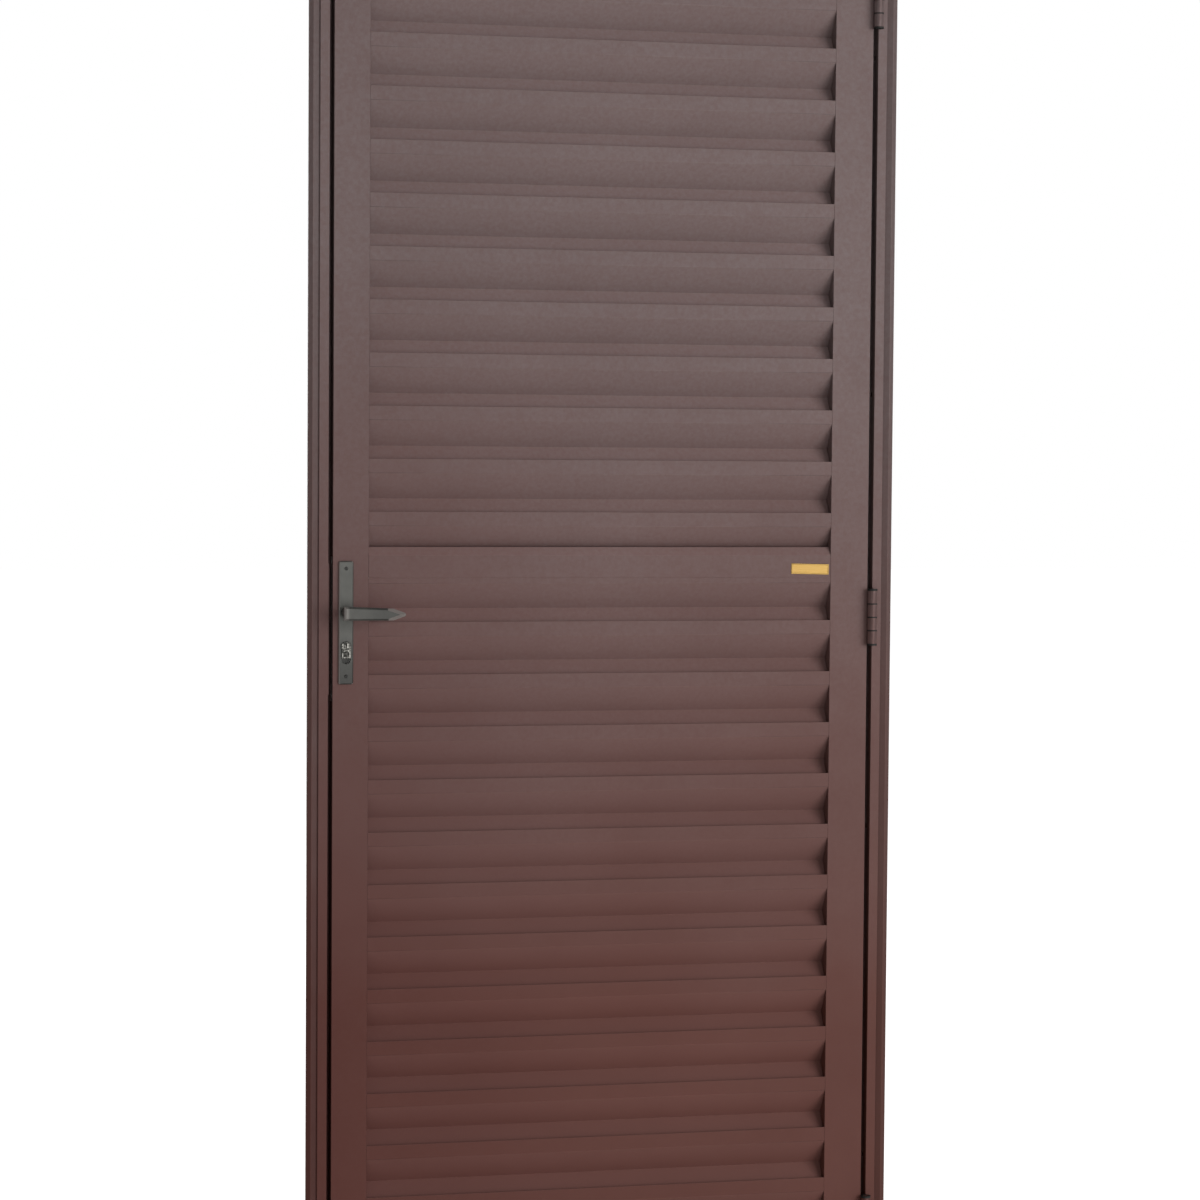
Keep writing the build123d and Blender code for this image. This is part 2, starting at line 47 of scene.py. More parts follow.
# Camera, fitted to the frame's edges, the slats and the handle in the photograph
CAMERA_AT = Vector((-1.4525, -4.504, 1.307))
CAMERA_YAW = math.radians(12.76)
CAMERA_PITCH = math.radians(-2.67)
CAMERA_ROLL = math.radians(0.42)
FOCAL_PX = 3122
IMAGE_PX = 1200
SENSOR_MM = 36

# Blank label on the mid rail
LABEL_WIDTH = 58 * MM
LABEL_HEIGHT = 15.5 * MM
LABEL_THICKNESS = 0.8 * MM
LABEL_CORNER = 0.8 * MM
LABEL_BEVEL = 0.3 * MM
LABEL_TILT = math.radians(1.2)
LABEL_FROM_STILE = 3 * MM
LABEL_BELOW_MIDDLE = 10 * MM
LABEL_RIM = 1.3 * MM
LABEL_GLUE = 0.1 * MM

# Screws of the lock plates, the hinges and the lock's edge plates. Insets are to the screw's middle
COLLAR_HEIGHT = 2 * MM
PLATE_SCREW_RADIUS = 2.7 * MM
PLATE_SCREW_HEIGHT = 1.0 * MM
PLATE_SCREW_FROM_TOP = 10.5 * MM
PLATE_SCREW_FROM_BOTTOM = 11.5 * MM
HINGE_SCREW_RADIUS = 3.2 * MM
HINGE_SCREW_HEIGHT = 0.4 * MM
HINGE_SCREW_STEP = 27 * MM
HINGE_SCREW_DEPTHS = (10 * MM, 19 * MM, 10 * MM)
HINGE_GAP = 7.5 * MM
HINGE_PLATE = 1.5 * MM
FACEPLATE_SCREW_INSET = 8 * MM
STRIKE_SCREW_INSET = 6 * MM

# Key cylinder: rims round its plugs, a patch below the inside plug and a lug in the lock's opening, both
# painted dark as shade
PLUG_RADIUS = 5.4 * MM
PLUG_RIM = 0.8 * MM
PLUG_RISE = 0.5 * MM
SHADE_PATCH_WIDTH = 9 * MM
SHADE_PATCH_LOW = 1.8 * MM
SHADE_PATCH_HIGH = 9.0 * MM
SHADE_PATCH_SHOULDER = 1.2 * MM
LUG_RADIUS = 6.0 * MM
LUG_CENTRE = -1.8 * MM
LUG_SETBACK = 10 * MM
LUG_LENGTH = 20 * MM

# Rings at the joints of a hinge's knuckles and washers at its ends, with their bore and outer radii
KNUCKLES = 4
KNUCKLE_RADIUS = 7.0 * MM
KNUCKLE_GAP = 0.9 * MM
RING_RADII = (7.05 * MM, 7.35 * MM)
RING_THICKNESS = 1.8 * MM
WASHER_RADII = (3.7 * MM, 7.3 * MM)
WASHER_THICKNESS = 2.8 * MM
WASHER_PLAY = 0.05 * MM

# Places on the levers: how far the leaf's middle lies before the frame's, and along x the end of the painted
# highlight on the root and the start of the painted shade on the grip
LEAF_MIDDLE = 17.5 * MM
GRIP_ROOT = -0.821
GRIP_DARK_START = -0.81

# Paint: painted light that lifts a slat's web and return, each low and high on the door, the grey painted
# sheen on both, painted shade on the strips that slope off at the frame's edge, and the mesh attribute that
# marks painted shade
WEB_LIFT = (1.27, 1.09)
RETURN_LIFT = (1.24, 1.41)
SLOPE_SHEEN = 0.13
STRIP_SHADE = 0.70
SHADE_ATTRIBUTE = "painted_shade"

# Light: each lamp's name, place, aim, width, height, radiance and colour, then the world and the floor
SOFT_BOXES = (
    ("front_softbox", (3.25, -5.0, 1.7), (-0.4, 0, 1.2), 4.0, 3.4, 6.8, (1.0, 0.98, 0.98)),
    ("fill_softbox", (-1.0, -6.5, 1.4), (-0.4, 0, 1.2), 3.0, 2.8, 1.8, (1.0, 0.99, 0.99)),
    ("back_softbox", (-2.4, 5.6, 1.8), (-0.4, 0, 1.1), 3.6, 3.0, 3.2, (1, 1, 1)),
)
AMBIENT = 0.44
LEFT_SHADE = 0.55
FLOOR_REACH = 30.0
FLOOR_GLOW = 0.25
FLOOR_LIFT = 0.75


class Graph:
    """A material's node tree, with short calls for the nodes that the finishes share."""

    def __init__(self, name):
        self.material = bpy.data.materials.new(name)
        self.material.use_nodes = True
        self.tree = self.material.node_tree
        self.tree.nodes.clear()
        self.shader = self.node("ShaderNodeBsdfPrincipled")
        output = self.node("ShaderNodeOutputMaterial")
        self.link(self.shader.outputs["BSDF"], output.inputs["Surface"])
        place = self.node("ShaderNodeTexCoord")
        self.place = place.outputs["Object"]

    def node(self, kind, **settings):
        made = self.tree.nodes.new(kind)
        for key, value in settings.items():
            setattr(made, key, value)
        return made

    def link(self, source, target):
        self.tree.links.new(source, target)

    def stretched(self, scale):
        """The object's coordinates, stretched by a scale along each axis."""
        mapping = self.node("ShaderNodeMapping")
        mapping.inputs["Scale"].default_value = scale
        self.link(self.place, mapping.inputs["Vector"])
        return mapping.outputs["Vector"]

    def noise(self, scale, detail=3, roughness=0.5, stretch=None):
        made = self.node("ShaderNodeTexNoise")
        made.inputs["Scale"].default_value = scale
        made.inputs["Detail"].default_value = detail
        made.inputs["Roughness"].default_value = roughness
        self.link(self.stretched(stretch) if stretch else self.place, made.inputs["Vector"])
        return made.outputs["Fac"]

    def spread(self, source, low, high, start=0.3, end=0.7):
        """Maps a value from start..end to low..high."""
        made = self.node("ShaderNodeMapRange")
        made.inputs["From Min"].default_value = start
        made.inputs["From Max"].default_value = end
        made.inputs["To Min"].default_value = low
        made.inputs["To Max"].default_value = high
        self.link(source, made.inputs["Value"])
        return made.outputs["Result"]

    def mixed(self, factor, first, second, blend="MIX"):
        """Mixes two colours, each a socket or a plain colour."""
        made = self.node("ShaderNodeMix", data_type="RGBA", blend_type=blend)
        sockets = (made.inputs["Factor"], made.inputs[6], made.inputs[7])
        for value, socket in zip((factor, first, second), sockets):
            if isinstance(value, bpy.types.NodeSocket):
                self.link(value, socket)
            elif isinstance(value, tuple):
                socket.default_value = (*value, 1)
            else:
                socket.default_value = value
        return made.outputs[2]

    def sharp_edge_mask(self, radius):
        """Is 1 on edges that are sharper than this radius, and 0 on flat faces."""
        rounded = self.node("ShaderNodeBevel", samples=4)
        rounded.inputs["Radius"].default_value = radius
        flat = self.node("ShaderNodeNewGeometry")
        along = self.node("ShaderNodeVectorMath", operation="DOT_PRODUCT")
        self.link(rounded.outputs["Normal"], along.inputs[0])
        self.link(flat.outputs["Normal"], along.inputs[1])
        return self.spread(along.outputs["Value"], 1, 0, 0.75, 0.99)

    def combine(self, operation, first, second):
        """Joins two values, each a socket or a number, by an arithmetic operation."""
        made = self.node("ShaderNodeMath", operation=operation)
        for value, socket in ((first, made.inputs[0]), (second, made.inputs[1])):
            if isinstance(value, bpy.types.NodeSocket):
                self.link(value, socket)
            else:
                socket.default_value = value
        return made.outputs[0]

    def shade_marked(self, base):
        """Darkens a colour towards near black where the mesh marks painted shade."""
        marked = self.node("ShaderNodeAttribute", attribute_name=SHADE_ATTRIBUTE)
        return self.mixed(marked.outputs["Fac"], base, (0.010, 0.010, 0.009))

    def bump(self, height, distance, strength=1.0, after=None):
        made = self.node("ShaderNodeBump")
        made.inputs["Strength"].default_value = strength
        made.inputs["Distance"].default_value = distance
        self.link(height, made.inputs["Height"])
        if after:
            self.link(after, made.inputs["Normal"])
        return made.outputs["Normal"]


def slope_tone(g, top_sheen):
    """Painted light on the slats' slopes, painted shade on the frame's edge strips, and how much grey painted
    sheen the slopes get.
    """
    sides = g.node("ShaderNodeTexCoord")
    slope = g.node("ShaderNodeSeparateXYZ")
    g.link(sides.outputs["Normal"], slope.inputs[0])
    # A slat's web leans one way and its return the other, on both of their sides
    lean = g.combine("MULTIPLY", slope.outputs["Y"], slope.outputs["Z"])
    web = g.spread(lean, 0, 1, 0.15, 0.30)
    fold_back = g.spread(lean, 1, 0, -0.30, -0.15)
    # Painted light: the web and the return are lifted against their shade, by a share that changes with
    # height
    web_lift = g.combine("MULTIPLY", web, g.spread(top_sheen, WEB_LIFT[0] - 1, WEB_LIFT[1] - 1, 0, 1))
    return_lift = g.spread(top_sheen, RETURN_LIFT[0] - 1, RETURN_LIFT[1] - 1, 0, 1)
    return_lift = g.combine("MULTIPLY", fold_back, return_lift)
    upward = g.combine("ADD", 1, g.combine("ADD", web_lift, return_lift))
    # Painted sheen on the slopes
    slope_sheen = g.combine("MULTIPLY", g.combine("MAXIMUM", web, fold_back), SLOPE_SHEEN)
    # Painted shade on front faces that slope sideways, such as the strips at the frame's edge
    sideways = g.spread(g.combine("ABSOLUTE", slope.outputs["X"], 0), 0, 1 - STRIP_SHADE, 0.15, 0.24)
    facing = g.spread(g.combine("ABSOLUTE", slope.outputs["Y"], 0), 0, 1, 0.5, 0.6)
    shaded = g.combine("SUBTRACT", 1, g.combine("MULTIPLY", sideways, facing))
    return g.combine("MULTIPLY", upward, shaded), slope_sheen


def paint():
    """Satin chocolate-brown enamel on sheet steel, with a painted sheen higher up, painted light and shade on
    its slopes, and lighter along its folds.
    """
    g = Graph("brown_enamel")
    at = g.node("ShaderNodeSeparateXYZ")
    g.link(g.place, at.inputs[0])
    # Painted sheen: the tone turns paler and greyer with height, along a wandering line, as under a soft
    # light from above
    wander = g.node("ShaderNodeMath", operation="MULTIPLY_ADD")
    g.link(g.noise(1.6, 3), wander.inputs[0])
    wander.inputs[1].default_value = 0.5
    g.link(at.outputs["Z"], wander.inputs[2])
    top_sheen = g.spread(wander.outputs[0], 0, 1, 0.73, 1.80)
    broad = g.spread(g.noise(3.5, 4), 0, 1)
    lower_tone = g.mixed(broad, (0.080, 0.026, 0.019), (0.092, 0.033, 0.025))
    pale = g.mixed(broad, (0.118, 0.087, 0.085), (0.132, 0.100, 0.098))
    base = g.mixed(top_sheen, lower_tone, pale)
    # Painted shade: the lower lock side is deeper in tone
    left = g.spread(at.outputs["X"], 1, 0, -0.88, -0.42)
    lock_side_shade = g.combine("MULTIPLY", left, g.combine("SUBTRACT", 1, top_sheen))
    base = g.mixed(lock_side_shade, base, (0.78, 0.62, 0.60), "MULTIPLY")
    fine = g.spread(g.noise(170, 3, 0.6), 0, 1)
    base = g.mixed(g.spread(fine, 0, 0.30, 0, 1), base, (0.080, 0.029, 0.023))
    sloping, slope_sheen = slope_tone(g, top_sheen)
    # Painted sheen: the slats' slopes turn greyer and lighter
    base = g.mixed(slope_sheen, base, (0.130, 0.100, 0.098))
    # Lighter along the sharp folds
    edge = g.sharp_edge_mask(0.7 * MM)
    base = g.mixed(g.spread(edge, 0, 0.5, 0, 1), base, (0.165, 0.095, 0.083))
    # Painted light on the slopes and painted shade on the edge strips scale the colour
    lifted = g.node("ShaderNodeVectorMath", operation="SCALE")
    g.link(base, lifted.inputs[0])
    g.link(sloping, lifted.inputs["Scale"])
    g.link(g.shade_marked(lifted.outputs["Vector"]), g.shader.inputs["Base Color"])
    g.link(g.spread(g.noise(22, 4), 0.48, 0.58), g.shader.inputs["Roughness"])
    peel = g.bump(g.noise(420, 2), 0.05 * MM, 0.5)
    g.link(g.bump(g.noise(9, 2), 0.6 * MM, 0.35, peel), g.shader.inputs["Normal"])
    g.shader.inputs["Specular IOR Level"].default_value = 0.18
    return g.material


def lit_facets(g):
    """Is 1 on slanting facets at the lever's root and point and on the left bevel of the lock plate, where
    highlights are painted.
    """
    sides = g.node("ShaderNodeTexCoord")
    part = g.node("ShaderNodeSeparateXYZ")
    g.link(sides.outputs["Normal"], part.inputs[0])
    left = g.spread(part.outputs["X"], 1, 0, -0.25, -0.12)
    right = g.spread(part.outputs["X"], 0, 1, 0.12, 0.20)
    steep = g.spread(g.combine("ABSOLUTE", part.outputs["Z"], 0), 0, 1, 0.30, 0.42)
    front = g.combine("ABSOLUTE", part.outputs["Y"], 0)
    slanting = g.combine("MULTIPLY", g.spread(front, 1, 0, 0.86, 0.95), g.spread(front, 0, 1, 0.48, 0.60))
    outward = g.combine("MAXIMUM", left, g.combine("MULTIPLY", right, steep))
    return g.combine("MULTIPLY", outward, slanting)


def handle_lacquer():
    """Satin grey lacquer over aluminium, with painted shade on the grip and low on the plate, and painted
    highlights on its root and slanting facets.
    """
    g = Graph("grey_lacquer")
    base = g.mixed(g.spread(g.noise(60, 4), 0, 1), (0.057, 0.058, 0.052), (0.073, 0.073, 0.066))
    at = g.node("ShaderNodeSeparateXYZ")
    g.link(g.place, at.inputs[0])
    # Painted shade: darker along the grip and towards the plate's lower end
    off_leaf = g.combine("ABSOLUTE", g.combine("ADD", at.outputs["Y"], LEAF_MIDDLE), 0)
    grip = g.spread(off_leaf, 0, 1, 0.045, 0.052)
    along = g.spread(at.outputs["X"], 0.25, 0.70, GRIP_DARK_START, GRIP_DARK_START + 40 * MM)
    low_end = g.spread(at.outputs["Z"], 1, 0, 0.975, 1.05)
    grip_shade = g.combine("MAXIMUM", g.combine("MULTIPLY", grip, along), low_end)
    base = g.mixed(grip_shade, base, (0.030, 0.030, 0.027))
    # Painted highlight on the lever's rounded root
    root = g.combine("MULTIPLY", grip, g.spread(at.outputs["X"], 0.8, 0, GRIP_ROOT, GRIP_ROOT + 4 * MM))
    base = g.mixed(root, base, (0.14, 0.132, 0.122))
    # Painted highlights on the slanting facets at the root and point and on the plate's left bevel
    base = g.mixed(g.combine("MULTIPLY", lit_facets(g), 0.75), base, (0.25, 0.225, 0.21))
    g.link(g.shade_marked(base), g.shader.inputs["Base Color"])
    g.shader.inputs["Metallic"].default_value = 0.5
    g.link(g.spread(g.noise(90, 3), 0.34, 0.46), g.shader.inputs["Roughness"])
    g.link(g.bump(g.noise(900, 2), 0.03 * MM, 0.5), g.shader.inputs["Normal"])
    return g.material


def metal(name, dark, light, rough, grain):
    """Bare or plated metal with fine grain lines along one axis."""
    g = Graph(name)
    lines = g.noise(1, 4, 0.6, stretch=grain)
    base = g.mixed(g.spread(lines, 0, 1), dark, light)
    g.link(g.shade_marked(base), g.shader.inputs["Base Color"])
    g.shader.inputs["Metallic"].default_value = 1
    g.link(g.spread(lines, rough * 0.8, rough * 1.25), g.shader.inputs["Roughness"])
    g.link(g.bump(lines, 0.02 * MM, 0.4), g.shader.inputs["Normal"])
    return g.material


def greasy_nickel():
    """Satin nickel, patchy with grease from the key."""
    g = Graph("satin_nickel")
    patches = g.spread(g.noise(300, 3, 0.55), 0, 1, 0.44, 0.62)
    base = g.mixed(patches, (0.042, 0.042, 0.038), (0.27, 0.265, 0.24))
    g.link(g.shade_marked(base), g.shader.inputs["Base Color"])
    g.shader.inputs["Metallic"].default_value = 1
    g.link(g.spread(patches, 0.42, 0.24, 0, 1), g.shader.inputs["Roughness"])
    return g.material


def mottled_zinc():
    """Zinc plating with its cloudy grain."""
    g = Graph("zinc_plating")
    cells = g.node("ShaderNodeTexVoronoi")
    cells.inputs["Scale"].default_value = 160
    g.link(g.place, cells.inputs["Vector"])
    cloud = g.spread(cells.outputs["Distance"], 0, 1, 0.1, 0.7)
    g.link(g.shade_marked(g.mixed(cloud, (0.46, 0.46, 0.44), (0.60, 0.60, 0.58))), g.shader.inputs["Base Color"])
    g.shader.inputs["Metallic"].default_value = 1
    g.link(g.spread(g.noise(45, 3), 0.28, 0.45), g.shader.inputs["Roughness"])
    g.link(g.bump(g.noise(600, 2), 0.02 * MM, 0.5), g.shader.inputs["Normal"])
    return g.material


FINISH = {
    "brown_paint": paint(),
    "handle_metal": handle_lacquer(),
    "nickel": greasy_nickel(),
    "zinc_steel": mottled_zinc(),
    "gold_plate": metal("pale_gold", (0.195, 0.122, 0.036), (0.255, 0.168, 0.056), 0.34, (60, 900, 900)),
}


def dress_cad_nodes():
    """Gives every CAD node its finish, joins its split corners and rounds its folds a little."""
    slight, full = 0.25 * MM, 0.5 * MM
    rounding = {"brown_paint": full, "handle_metal": full, "nickel": slight, "zinc_steel": slight}
    for part in frame["record"]["subparts"]:
        node = frame["nodes"][part["node"]]
        slot = part["material_slot"]
        node.data.materials.clear()
        node.data.materials.append(FINISH[slot])
        weld = node.modifiers.new("weld", "WELD")
        weld.merge_threshold = 0.01 * MM
        fold = node.modifiers.new("fold", "BEVEL")
        fold.width = slight if part["node"].endswith(("slats", "half")) else rounding[slot]
        fold.segments = 2
        fold.limit_method = "ANGLE"
        fold.angle_limit = math.radians(28)
        fold.harden_normals = True


def add_object(name, mesh_maker, slot, body, painted_shade=0.0):
    """Makes a piece from a bmesh, finishes it and puts it on a body."""
    mesh = bpy.data.meshes.new(name)
    bm = bmesh.new()
    mesh_maker(bm)
    bmesh.ops.recalc_face_normals(bm, faces=bm.faces)
    bm.to_mesh(mesh)
    bm.free()
    # The mesh marks how far its finish is darkened towards near black as painted shade
    if painted_shade:
        marks = mesh.attributes.new(SHADE_ATTRIBUTE, "FLOAT", "POINT")
        marks.data.foreach_set("value", [painted_shade] * len(mesh.vertices))
    piece = bpy.data.objects.new(name, mesh)
    bpy.context.scene.collection.objects.link(piece)
    mesh.materials.append(FINISH[slot])
    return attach(piece, body)


def round_rectangle(width, height, corner, steps=5):
    """Corner points of a rounded rectangle about the origin, counter-clockwise."""
    points = []
    for turn, (sx, sy) in enumerate(((1, 1), (-1, 1), (-1, -1), (1, -1))):
        for step in range(steps + 1):
            angle = math.radians(90 * (turn + step / steps))
            x = sx * (width / 2 - corner) + corner * math.cos(angle)
            points.append((x, sy * (height / 2 - corner) + corner * math.sin(angle)))
    return points


def layered(bm, place, layers):
    """Joins outlines into a closed form. Each layer is a list of points and a height above the seat."""
    rings = [[bm.verts.new(place @ Vector((x, y, height))) for x, y in points] for points, height in layers]
    for low, high in zip(rings, rings[1:]):
        for i in range(len(low)):
            j = (i + 1) % len(low)
            bm.faces.new((low[i], low[j], high[j], high[i]))
    bm.faces.new(rings[-1])
    bm.faces.new(reversed(rings[0]))


def facing_front(x, y, z, tilt=0.0):
    """A place on a front face: local x to the right, local y up, local z out of the face."""
    upright = Matrix.Rotation(math.radians(90), 4, "X")
    return Matrix.Translation((x, y, z)) @ upright @ Matrix.Rotation(-tilt, 4, "Z")


def facing_back(x, y, z):
    """A place on a back face: local z points to the outside."""
    return Matrix.Translation((x, y, z)) @ Matrix.Rotation(math.radians(-90), 4, "X")


def facing_side(x, y, z, way):
    """A place on an edge face: local z points along the frame's x, towards its sign."""
    return Matrix.Translation((x, y, z)) @ Matrix.Rotation(math.radians(90 * way), 4, "Y")


def disc(radius, count=24):
    angles = [math.tau * i / count for i in range(count)]
    return [(radius * math.cos(angle), radius * math.sin(angle)) for angle in angles]


def cross(radius, count=24):
    """Outline of a cross recess with as many points as a disc."""
    points = []
    for i, (x, y) in enumerate(disc(1, count)):
        arm = min(i % 6, 6 - i % 6) <= 1
        points.append((x * radius * (1 if arm else 0.42), y * radius * (1 if arm else 0.42)))
    return points


def screw_head(name, place, radius, height, slot, body, painted_shade=0.0):
    """Low domed screw head with a cross recess, seated on a face."""

    def build(bm):
        layered(bm, place, [
            (disc(radius), -0.2 * MM),
            (disc(radius), 0.25 * height),
            (disc(radius * 0.86), 0.75 * height),
            (disc(radius * 0.66), height),
            (cross(radius * 0.52), height),
            (cross(radius * 0.44), 0.15 * height),
        ])

    add_object(name, build, slot, body, painted_shade)


def plate_screws():
    """Screws at both ends of the inside and outside lock plates, their heads darkened as painted shade."""
    for side in ("inside", "outside"):
        low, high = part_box(f"{side}_lock_plate")
        middle = (low.x + high.x) / 2
        for end, z in (("upper", high.z - PLATE_SCREW_FROM_TOP), ("lower", low.z + PLATE_SCREW_FROM_BOTTOM)):
            # The box takes in the collar round the spindle, which stands above the plate's face
            if side == "inside":
                place = facing_front(middle, low.y + COLLAR_HEIGHT, z)
            else:
                place = facing_back(middle, high.y - COLLAR_HEIGHT, z)
            screw_head(f"{side}_plate_{end}_screw", place, PLATE_SCREW_RADIUS, PLATE_SCREW_HEIGHT,
                       "handle_metal", "leaf", 0.8)


def hinge_screws():
    """Three screws in each hinge plate, on the leaf's edge and on the jamb."""
    stile_low, stile_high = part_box("hinge_stile")
    leaf_x = stile_high.x + HINGE_PLATE
    jamb_x = stile_high.x + HINGE_GAP - HINGE_PLATE
    for level in ("top", "middle", "bottom"):
        low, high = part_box(f"{level}_hinge_leaf_half")
        middle = (low.z + high.z) / 2
        for i, depth in enumerate(HINGE_SCREW_DEPTHS):
            z = middle + (i - 1) * HINGE_SCREW_STEP
            y = stile_low.y + depth
            for body, x, way in (("leaf", leaf_x, 1), ("frame", jamb_x, -1)):
                screw_head(f"{level}_hinge_{body}_screw_{i}", facing_side(x, y, z, way), HINGE_SCREW_RADIUS,
                           HINGE_SCREW_HEIGHT, "zinc_steel", body)


def lock_edge_screws():
    """Screws of the lock's faceplate on the leaf's edge and of the strike plate on the jamb."""
    plates = (("mortise_lock", FACEPLATE_SCREW_INSET, "leaf"), ("strike_plate", STRIKE_SCREW_INSET, "frame"))
    for node, inset, body in plates:
        low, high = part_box(node)
        x, way = (low.x, -1) if body == "leaf" else (high.x, 1)
        y = (low.y + high.y) / 2
        for end, z in (("lower", low.z + inset), ("upper", high.z - inset)):
            screw_head(f"{node}_{end}_screw", facing_side(x, y, z, way), HINGE_SCREW_RADIUS,
                       HINGE_SCREW_HEIGHT, "zinc_steel", body)


def cylinder_details():
    """Rims of the key plugs, the patch below the inside plug and the lug under the cylinder's foot, both
    painted dark as shade.
    """
    low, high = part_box("key_cylinder")
    middle = (low.x + high.x) / 2
    plug = high.z - (high.x - low.x) / 2

    def rim(place):
        def build(bm):
            layered(bm, place, [
                (disc(PLUG_RADIUS), -0.1 * MM),
                (disc(PLUG_RADIUS), 0.6 * PLUG_RISE),
                (disc(PLUG_RADIUS - 0.3 * PLUG_RIM), PLUG_RISE),
                (disc(PLUG_RADIUS - 0.7 * PLUG_RIM), PLUG_RISE),
                (disc(PLUG_RADIUS - PLUG_RIM), 0.05 * MM),
            ])
            # The middle stays open for the plug's own face and keyway
            caps = [face for face in bm.faces if len(face.verts) > 4]
            bmesh.ops.delete(bm, geom=caps, context="FACES_ONLY")
            edges = [edge for edge in bm.edges if len(edge.link_faces) < 2]
            bmesh.ops.bridge_loops(bm, edges=edges)
        return build

    add_object("inside_plug_rim", rim(facing_front(middle, low.y, plug)), "nickel", "leaf")
    add_object("outside_plug_rim", rim(facing_back(middle, high.y, plug)), "nickel", "leaf")

    # Without the lug, the round end of the lock's opening would be see-through; the lug is painted near black
    # as the shade in the opening
    def lug(bm):
        place = facing_front(middle, low.y + LUG_SETBACK, low.z)
        arc = [math.radians(180 + 180 * i / 12) for i in range(13)]
        outline = [(LUG_RADIUS * math.cos(a), LUG_CENTRE + LUG_RADIUS * math.sin(a)) for a in arc]
        outline += [(LUG_RADIUS, 0.1 * MM), (-LUG_RADIUS, 0.1 * MM)]
        layered(bm, place, [(outline, -LUG_LENGTH), (outline, 0)])

    add_object("cylinder_lug", lug, "zinc_steel", "leaf", 0.95)

    # A thin sheet, painted dark, that stands in for the shade below the inside plug
    def shade_patch(bm):
        half = SHADE_PATCH_WIDTH / 2
        crown = SHADE_PATCH_HIGH + SHADE_PATCH_SHOULDER
        outline = [(-half, SHADE_PATCH_LOW), (half, SHADE_PATCH_LOW), (half, SHADE_PATCH_HIGH),
                   (half * 0.5, crown), (-half * 0.5, crown), (-half, SHADE_PATCH_HIGH)]
        layered(bm, facing_front(middle, low.y, low.z), [(outline, -0.1 * MM), (outline, 0.15 * MM)])

    add_object("cylinder_shade_patch", shade_patch, "nickel", "leaf", 0.8)


def hinge_washers():
    """Rings round the knuckle joints and washers at both ends of each hinge pin, painted near black as the
    shade there.
    """
    for level in ("top", "middle", "bottom"):
        low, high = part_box(f"{level}_hinge_leaf_half")
        x, y = low.x + KNUCKLE_RADIUS, low.y + KNUCKLE_RADIUS
        length = (high.z - low.z - (KNUCKLES - 1) * KNUCKLE_GAP) / KNUCKLES
        joints = [low.z + i * (length + KNUCKLE_GAP) - KNUCKLE_GAP / 2 for i in range(1, KNUCKLES)]
        seats = [(z - RING_THICKNESS / 2, RING_THICKNESS, RING_RADII) for z in joints]
        seats.append((low.z - WASHER_THICKNESS - WASHER_PLAY, WASHER_THICKNESS, WASHER_RADII))
        seats.append((high.z + WASHER_PLAY, WASHER_THICKNESS, WASHER_RADII))
        for i, (z, thickness, (bore, radius)) in enumerate(seats):

            def washer(bm, z=z, thickness=thickness, bore=bore, radius=radius):
                section = ((bore, z), (radius, z), (radius, z + thickness), (bore, z + thickness))
                rings = [[bm.verts.new((x + px, y + py, up)) for px, py in disc(r, 32)] for r, up in section]
                for inner, outer in zip(rings, rings[1:] + rings[:1]):
                    for k in range(32):
                        n = (k + 1) % 32
                        bm.faces.new((inner[k], inner[n], outer[n], outer[k]))

            # Painted near black as the shade in the knuckle joints and at the pin's ends
            add_object(f"{level}_hinge_washer_{i}", washer, "brown_paint", "frame", 1.0)


def make_label():
    """Blank gold plate near the hinge end of the mid rail, with a pressed rim."""
    low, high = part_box("mid_rail")
    stile_low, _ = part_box("hinge_stile")
    x = stile_low.x - LABEL_FROM_STILE - LABEL_WIDTH / 2
    place = facing_front(x, low.y, (low.z + high.z) / 2 - LABEL_BELOW_MIDDLE, LABEL_TILT)

    def outline(inset, corner):
        return round_rectangle(LABEL_WIDTH - 2 * inset, LABEL_HEIGHT - 2 * inset, corner)

    def build(bm):
        outer = outline(0, LABEL_CORNER)
        layered(bm, place, [
            (outer, -LABEL_GLUE),
            (outer, LABEL_THICKNESS * 0.7),
            (outline(LABEL_BEVEL, LABEL_CORNER), LABEL_THICKNESS),
            (outline(LABEL_RIM, LABEL_CORNER / 2), LABEL_THICKNESS),
            (outline(1.3 * LABEL_RIM, LABEL_CORNER / 2), LABEL_THICKNESS * 0.6),
        ])

    add_object("label_plate", build, "gold_plate", "leaf")


def set_camera():
    forward = Vector((
        math.sin(CAMERA_YAW) * math.cos(CAMERA_PITCH),
        math.cos(CAMERA_YAW) * math.cos(CAMERA_PITCH),
        math.sin(CAMERA_PITCH),
    ))
    level_right = Vector((math.cos(CAMERA_YAW), -math.sin(CAMERA_YAW), 0))
    level_up = level_right.cross(forward)
    right = level_right * math.cos(CAMERA_ROLL) + level_up * math.sin(CAMERA_ROLL)
    up = level_up * math.cos(CAMERA_ROLL) - level_right * math.sin(CAMERA_ROLL)
    lens = bpy.data.cameras.new("camera")
    lens.sensor_width = SENSOR_MM
    lens.lens = FOCAL_PX / IMAGE_PX * SENSOR_MM
    camera = bpy.data.objects.new("camera", lens)
    bpy.context.scene.collection.objects.link(camera)
    camera.matrix_world = Matrix.Translation(CAMERA_AT) @ Matrix((right, up, -forward)).transposed().to_4x4()
    bpy.context.scene.camera = camera


def soft_box(name, at, towards, width, height, radiance, colour):
    """A large flat lamp of this radiance that the camera doesn't see."""
    lamp = bpy.data.lights.new(name, "AREA")
    lamp.shape = "RECTANGLE"
    lamp.size = width
    lamp.size_y = height
    lamp.energy = radiance * math.pi * width * height
    lamp.color = colour
    box = bpy.data.objects.new(name, lamp)
    bpy.context.scene.collection.objects.link(box)
    box.location = at
    box.rotation_euler = (Vector(towards) - Vector(at)).to_track_quat("-Z", "Y").to_euler()
    box.visible_camera = False


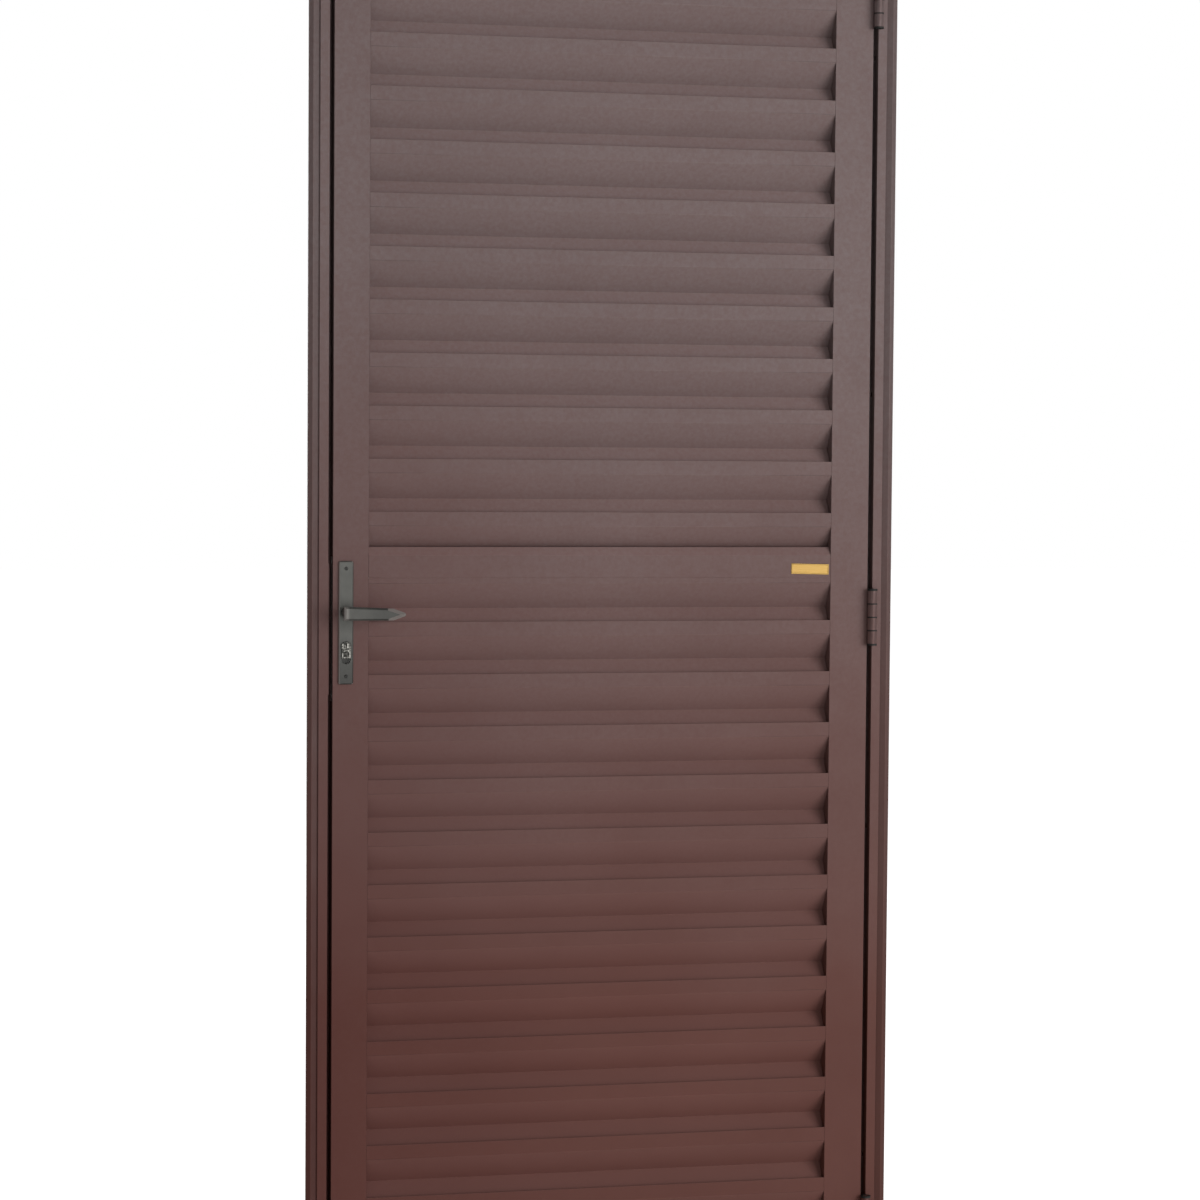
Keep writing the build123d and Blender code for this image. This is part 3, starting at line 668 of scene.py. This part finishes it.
def set_light():
    """Softboxes before and behind the door, and a studio that is darker at the left of the door."""
    for lamp in SOFT_BOXES:
        soft_box(*lamp)
    world = bpy.data.worlds.new("studio")
    bpy.context.scene.world = world
    world.use_nodes = True
    tree = world.node_tree
    tree.nodes.clear()
    backdrop = tree.nodes.new("ShaderNodeBackground")
    backdrop.inputs["Color"].default_value = (1, 1, 1, 1)
    backdrop.inputs["Strength"].default_value = 1
    ambient = tree.nodes.new("ShaderNodeBackground")
    ambient.inputs["Color"].default_value = (1, 1, 1, 1)
    direction = tree.nodes.new("ShaderNodeTexCoord")
    parts = tree.nodes.new("ShaderNodeSeparateXYZ")
    shade = tree.nodes.new("ShaderNodeMapRange")
    shade.interpolation_type = "SMOOTHSTEP"
    shade.inputs["From Min"].default_value = -0.8
    shade.inputs["From Max"].default_value = 0.1
    shade.inputs["To Min"].default_value = AMBIENT * LEFT_SHADE
    shade.inputs["To Max"].default_value = AMBIENT
    paths = tree.nodes.new("ShaderNodeLightPath")
    mix = tree.nodes.new("ShaderNodeMixShader")
    output = tree.nodes.new("ShaderNodeOutputWorld")
    tree.links.new(direction.outputs["Generated"], parts.inputs[0])
    tree.links.new(parts.outputs["X"], shade.inputs["Value"])
    tree.links.new(shade.outputs["Result"], ambient.inputs["Strength"])
    tree.links.new(paths.outputs["Is Camera Ray"], mix.inputs["Fac"])
    tree.links.new(ambient.outputs[0], mix.inputs[1])
    tree.links.new(backdrop.outputs[0], mix.inputs[2])
    tree.links.new(mix.outputs[0], output.inputs["Surface"])


def make_floor():
    """Pale studio floor under the frame's feet."""
    mesh = bpy.data.meshes.new("floor")
    corners = [(x * FLOOR_REACH, y * FLOOR_REACH, 0) for x, y in ((-1, -1), (1, -1), (1, 1), (-1, 1))]
    mesh.from_pydata(corners, [], [(0, 1, 2, 3)])
    floor = bpy.data.objects.new("floor", mesh)
    bpy.context.scene.collection.objects.link(floor)
    g = Graph("pale_floor")
    base = g.mixed(g.spread(g.noise(1.2, 3), 0, 1), (0.78, 0.78, 0.77), (0.82, 0.82, 0.81))
    g.link(base, g.shader.inputs["Base Color"])
    g.shader.inputs["Roughness"].default_value = 0.9
    g.shader.inputs["Specular IOR Level"].default_value = 0
    # The camera sees the floor lifted to the white of the backdrop, with the shadow kept
    g.shader.inputs["Emission Color"].default_value = (1, 1, 1, 1)
    paths = g.node("ShaderNodeLightPath")
    glow = g.spread(paths.outputs["Is Camera Ray"], FLOOR_GLOW, FLOOR_LIFT, 0, 1)
    g.link(glow, g.shader.inputs["Emission Strength"])
    mesh.materials.append(g.material)


dress_cad_nodes()
make_label()
plate_screws()
hinge_screws()
lock_edge_screws()
cylinder_details()
hinge_washers()
make_floor()
set_light()
set_camera()
bpy.context.scene.view_settings.view_transform = "Standard"
